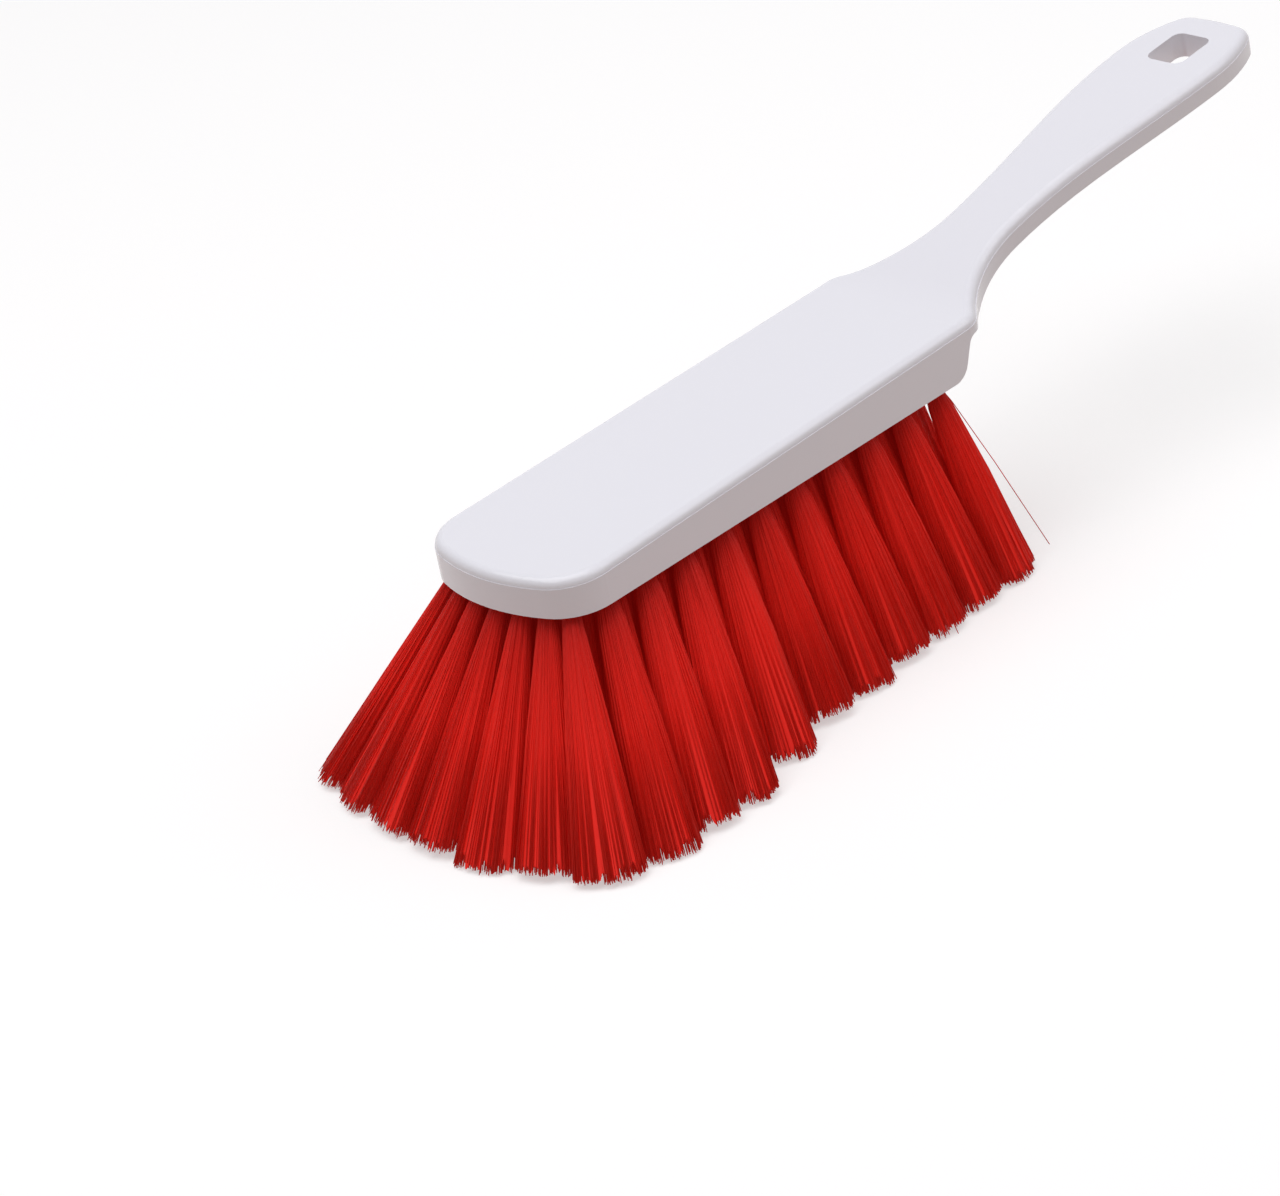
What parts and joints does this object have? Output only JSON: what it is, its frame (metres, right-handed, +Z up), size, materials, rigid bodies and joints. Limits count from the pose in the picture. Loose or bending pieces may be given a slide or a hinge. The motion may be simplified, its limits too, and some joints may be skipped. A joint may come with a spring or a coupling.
{
  "type": "hand broom",
  "caption": "One-handed broom: a moulded head with a bowed handle and hanging hole, and rows of splayed bristle tufts held by wire anchors.",
  "frame": {"origin": "on the plane of the bristle tips, midway between the toe tips and the handle's end, on the broom's centre plane", "axes": "+X from the toe to the end of the handle, +Y across the head, +Z up from the bristle tips to the top of the head"},
  "size_m": [0.3526, 0.1324, 0.0997],
  "materials": {
    "body_plastic": "glossy moulded white",
    "bristle": "red extruded filament with a soft sheen",
    "anchor_wire": "plain flat wire"
  },
  "bodies": {
    "root": {"body": "body_plastic", "tuft_row_01": "bristle", "tuft_row_02": "bristle", "tuft_row_03": "bristle", "tuft_row_04": "bristle", "tuft_row_05": "bristle", "tuft_row_06": "bristle", "tuft_row_07": "bristle", "tuft_row_08": "bristle", "tuft_row_09": "bristle", "tuft_row_10": "bristle", "tuft_row_11": "bristle", "tuft_row_12": "bristle", "tuft_row_13": "bristle", "tuft_row_14": "bristle", "tuft_row_15": "bristle", "tuft_row_16": "bristle", "tuft_row_17": "bristle", "tuft_row_18": "bristle", "tuft_row_19": "bristle", "tuft_row_20": "bristle", "tuft_row_21": "bristle", "anchors_row_01": "anchor_wire", "anchors_row_02": "anchor_wire", "anchors_row_03": "anchor_wire", "anchors_row_04": "anchor_wire", "anchors_row_05": "anchor_wire", "anchors_row_06": "anchor_wire", "anchors_row_07": "anchor_wire", "anchors_row_08": "anchor_wire", "anchors_row_09": "anchor_wire", "anchors_row_10": "anchor_wire", "anchors_row_11": "anchor_wire", "anchors_row_12": "anchor_wire", "anchors_row_13": "anchor_wire", "anchors_row_14": "anchor_wire", "anchors_row_15": "anchor_wire", "anchors_row_16": "anchor_wire", "anchors_row_17": "anchor_wire", "anchors_row_18": "anchor_wire", "anchors_row_19": "anchor_wire", "anchors_row_20": "anchor_wire", "anchors_row_21": "anchor_wire"}
  },
  "joints": []
}
